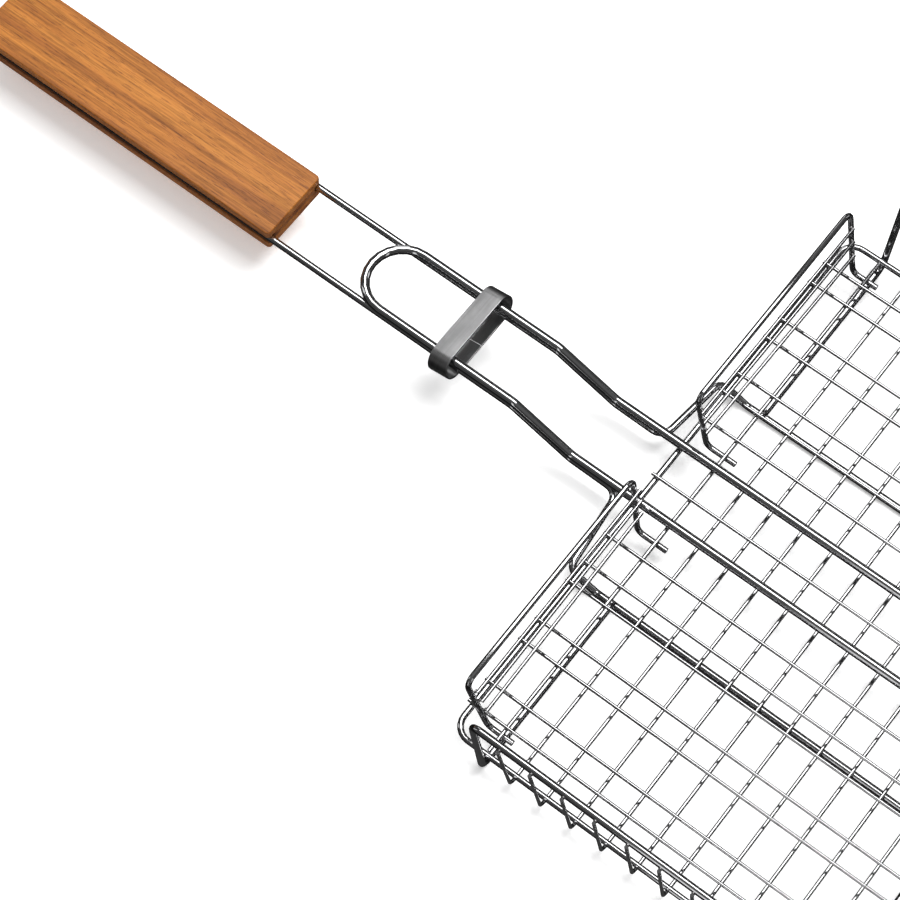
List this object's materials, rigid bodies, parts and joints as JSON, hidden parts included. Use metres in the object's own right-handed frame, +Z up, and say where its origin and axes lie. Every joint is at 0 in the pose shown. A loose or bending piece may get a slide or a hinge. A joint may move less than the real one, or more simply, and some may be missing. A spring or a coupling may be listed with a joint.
{
  "type": "grill basket",
  "caption": "Long-handled grill basket: a deep chromed wire basket, a hinged wire lid pressed down inside it, a steel lock ring on the handle wires and a flat wooden grip.",
  "frame": {"origin": "centre of the bounding box, on the surface the basket stands on", "axes": "+X along the handle towards the grip, +Y towards the basket's left side, +Z up"},
  "size_m": [0.8398, 0.4436, 0.1006],
  "materials": {
    "heavy_wire": "polished chrome plating on the thick wires",
    "thin_wire": "polished chrome plating on the thin rods",
    "ring_steel": "satin steel strap",
    "grip_wood": "oiled honey-brown wood, grain along the grip"
  },
  "bodies": {
    "base": {"base_far_frame": "heavy_wire", "base_far_rung_1": "thin_wire", "base_far_rung_2": "thin_wire", "base_far_rung_3": "thin_wire", "base_floor_rod_01": "thin_wire", "base_floor_rod_02": "thin_wire", "base_floor_rod_03": "thin_wire", "base_floor_rod_04": "thin_wire", "base_floor_rod_05": "thin_wire", "base_floor_rod_06": "thin_wire", "base_floor_rod_07": "thin_wire", "base_floor_rod_08": "thin_wire", "base_floor_rod_09": "thin_wire", "base_floor_rod_10": "thin_wire", "base_handle_wire_left": "heavy_wire", "base_handle_wire_right": "heavy_wire", "base_hinge_wire": "heavy_wire", "base_side_rail_left": "heavy_wire", "base_side_rail_right": "heavy_wire", "grip_board_bottom": "grip_wood", "grip_board_top": "grip_wood", "grip_spacer": "grip_wood"},
    "lid": {"lid_cross_rod_back": "thin_wire", "lid_cross_rod_front": "thin_wire", "lid_frame": "heavy_wire", "lid_guard_left": "heavy_wire", "lid_guard_left_rung_1": "thin_wire", "lid_guard_left_rung_2": "thin_wire", "lid_guard_left_rung_3": "thin_wire", "lid_guard_right": "heavy_wire", "lid_guard_right_rung_1": "thin_wire", "lid_guard_right_rung_2": "thin_wire", "lid_guard_right_rung_3": "thin_wire", "lid_handle_wire": "heavy_wire", "lid_rod_01": "thin_wire", "lid_rod_02": "thin_wire", "lid_rod_03": "thin_wire", "lid_rod_04": "thin_wire", "lid_rod_05": "thin_wire", "lid_rod_06": "thin_wire", "lid_rod_07": "thin_wire", "lid_rod_08": "thin_wire", "lid_rod_09": "thin_wire", "lid_rod_10": "thin_wire", "lid_rod_11": "thin_wire", "lid_rod_12": "thin_wire", "lid_rod_13": "thin_wire", "lid_rod_14": "thin_wire", "lid_rod_15": "thin_wire"},
    "lock_ring": {"lock_ring": "ring_steel"}
  },
  "joints": [
    {"name": "lid_hinge", "type": "hinge", "parent": "base", "child": "lid", "pos_m": [-0.39567, 0, 0.01325], "axis": [0, -1, 0], "range_deg": [0, 97]},
    {"name": "ring_slide", "type": "slide", "parent": "base", "child": "lock_ring", "axis": [1, 0, 0], "range_m": [-0.04, 0.126]}
  ]
}
